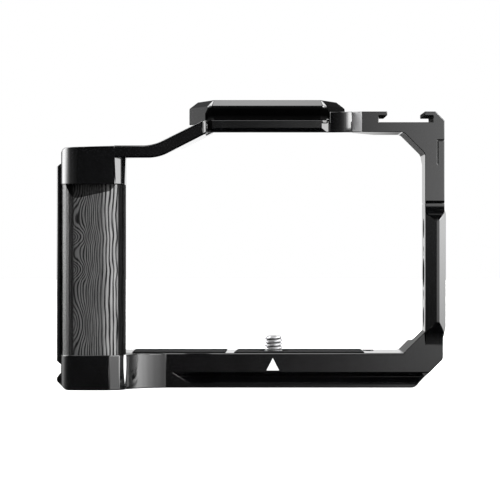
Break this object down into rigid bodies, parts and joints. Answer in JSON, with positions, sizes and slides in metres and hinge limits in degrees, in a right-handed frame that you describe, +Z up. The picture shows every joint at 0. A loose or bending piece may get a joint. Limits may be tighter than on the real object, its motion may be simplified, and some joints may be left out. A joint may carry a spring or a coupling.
{
  "type": "camera cage",
  "caption": "Black camera cage: machined ring with a wooden front grip, dovetail base and side rail, captive camera screw, cold shoe, clamp rail and threaded column.",
  "frame": {"origin": "centre of the overall width and depth, on the underside of the base", "axes": "+X towards the column, away from the grip; the camera looks along -Y, so the grip stands on the -Y side; +Z up"},
  "size_m": [0.1342, 0.057, 0.0993],
  "materials": {
    "base_anodised": "black anodised, satin",
    "column_anodised": "black anodised, satin",
    "shoe_anodised": "black anodised, satin",
    "bridge_anodised": "black anodised, satin",
    "arm_anodised": "black anodised, satin",
    "grip_anodised": "black anodised, satin",
    "rail_anodised": "black anodised, satin",
    "wood_grip": "black stained, satin, open grain",
    "pad_rubber": "matt",
    "camera_screw": "bright turned stainless steel",
    "fastener_steel": "plain",
    "insert_brass": "plain turned",
    "washer_nylon": "natural nylon",
    "driver_steel": "stamped and ground",
    "magnet_nickel": "nickel plated"
  },
  "bodies": {
    "cage": {"base_plate": "base_anodised", "side_column": "column_anodised", "shoe_frame": "shoe_anodised", "top_bridge": "bridge_anodised", "grip_arm": "arm_anodised", "grip_frame": "grip_anodised", "wood_grip": "wood_grip", "grip_screw_low": "fastener_steel", "grip_screw_high": "fastener_steel", "grip_insert_low": "insert_brass", "grip_insert_high": "insert_brass", "side_rail": "rail_anodised", "rail_screw_low": "fastener_steel", "rail_screw_high": "fastener_steel", "floor_pad_left": "pad_rubber", "floor_pad_centre": "pad_rubber", "roof_pad": "pad_rubber", "screw_retainer": "fastener_steel", "magnet_left": "magnet_nickel", "magnet_right": "magnet_nickel"},
    "screw_washer": {"screw_washer": "washer_nylon"},
    "camera_screw": {"camera_screw": "camera_screw"},
    "screwdriver": {"screwdriver": "driver_steel"}
  },
  "joints": [
    {"name": "screw_lift", "type": "slide", "parent": "cage", "child": "screw_washer", "axis": [0, 0, -1], "range_m": [0, 0.0052]},
    {"name": "screw_spin", "type": "hinge", "parent": "screw_washer", "child": "camera_screw", "pos_m": [0.0079, 0.0095, 0.0071], "axis": [0, 0, 1], "continuous": true},
    {"name": "driver_release", "type": "slide", "parent": "cage", "child": "screwdriver", "axis": [0, 0, -1], "range_m": [0, 0.012]}
  ]
}
